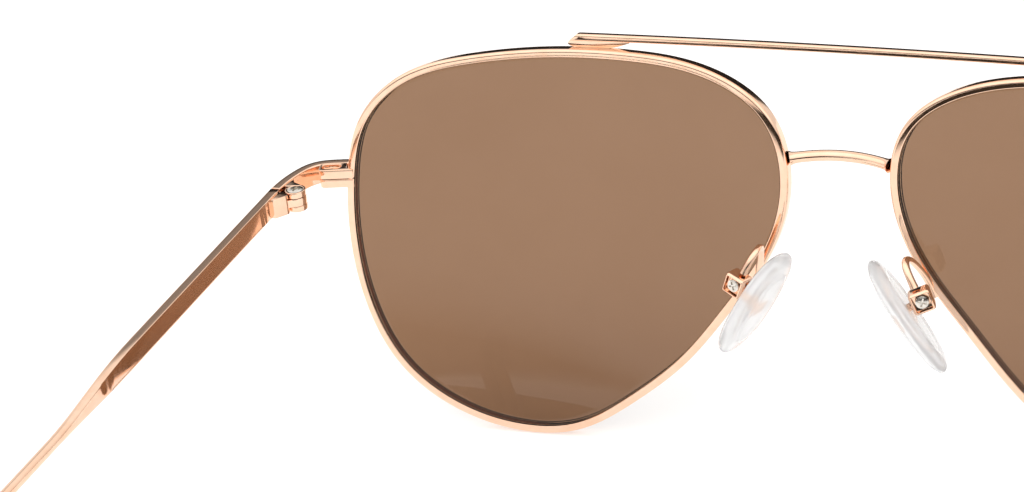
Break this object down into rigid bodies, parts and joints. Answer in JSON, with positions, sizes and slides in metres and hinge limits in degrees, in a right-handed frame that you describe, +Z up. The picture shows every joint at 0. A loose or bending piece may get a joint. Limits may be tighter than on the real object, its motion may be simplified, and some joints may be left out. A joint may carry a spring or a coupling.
{
  "type": "aviator sunglasses",
  "caption": "Metal-framed aviator sunglasses with tinted teardrop lenses, a straight brow bar, rocking nose pads and folding temples.",
  "frame": {"origin": "middle of the footprint at the height of the surface the glasses stand on, with the temples open", "axes": "+X towards the wearer's left, +Y from the front back along the temples, +Z up"},
  "size_m": [0.1492, 0.1462, 0.0544],
  "materials": {
    "rose_gold": "polished rose gold plating",
    "screw_steel": "bright screw heads",
    "brown_lens": "brown tinted polycarbonate, polished",
    "clear_silicone": "clear soft silicone",
    "brown_acetate": "polished dark brown acetate"
  },
  "bodies": {
    "front": {"bridge": "rose_gold", "brow_bar": "rose_gold", "rim_left": "rose_gold", "lens_left": "brown_lens", "rim_lock_upper_left": "rose_gold", "rim_lock_lower_left": "rose_gold", "rim_lock_screw_left": "screw_steel", "endpiece_left": "rose_gold", "hinge_front_leaf_left": "rose_gold", "hinge_screw_left": "screw_steel", "pad_arm_left": "rose_gold", "pad_box_left": "rose_gold", "pad_screw_left": "screw_steel", "rim_right": "rose_gold", "lens_right": "brown_lens", "rim_lock_upper_right": "rose_gold", "rim_lock_lower_right": "rose_gold", "rim_lock_screw_right": "screw_steel", "endpiece_right": "rose_gold", "hinge_front_leaf_right": "rose_gold", "hinge_screw_right": "screw_steel", "pad_arm_right": "rose_gold", "pad_box_right": "rose_gold", "pad_screw_right": "screw_steel"},
    "temple_arm_left": {"temple_left": "rose_gold", "temple_tip_left": "brown_acetate", "hinge_temple_leaf_left": "rose_gold"},
    "nose_rest_left": {"nose_pad_left": "clear_silicone", "pad_insert_left": "rose_gold"},
    "temple_arm_right": {"temple_right": "rose_gold", "temple_tip_right": "brown_acetate", "hinge_temple_leaf_right": "rose_gold"},
    "nose_rest_right": {"nose_pad_right": "clear_silicone", "pad_insert_right": "rose_gold"}
  },
  "joints": [
    {"name": "temple_fold_left", "type": "hinge", "parent": "front", "child": "temple_arm_left", "pos_m": [0.0707, -0.06085, 0.03358], "axis": [0, 0.0669, 0.9978], "range_deg": [0, 82]},
    {"name": "temple_fold_right", "type": "hinge", "parent": "front", "child": "temple_arm_right", "pos_m": [-0.0707, -0.06085, 0.03358], "axis": [0, -0.0669, -0.9978], "range_deg": [0, 89]},
    {"name": "pad_rock_left", "type": "hinge", "parent": "front", "child": "nose_rest_left", "pos_m": [0.0117, -0.06175, 0.02632], "axis": [0.2924, 0.9535, 0.0728], "range_deg": [-10, 10]},
    {"name": "pad_rock_right", "type": "hinge", "parent": "front", "child": "nose_rest_right", "pos_m": [-0.0117, -0.06175, 0.02632], "axis": [-0.2924, 0.9535, 0.0728], "range_deg": [-10, 10]}
  ]
}
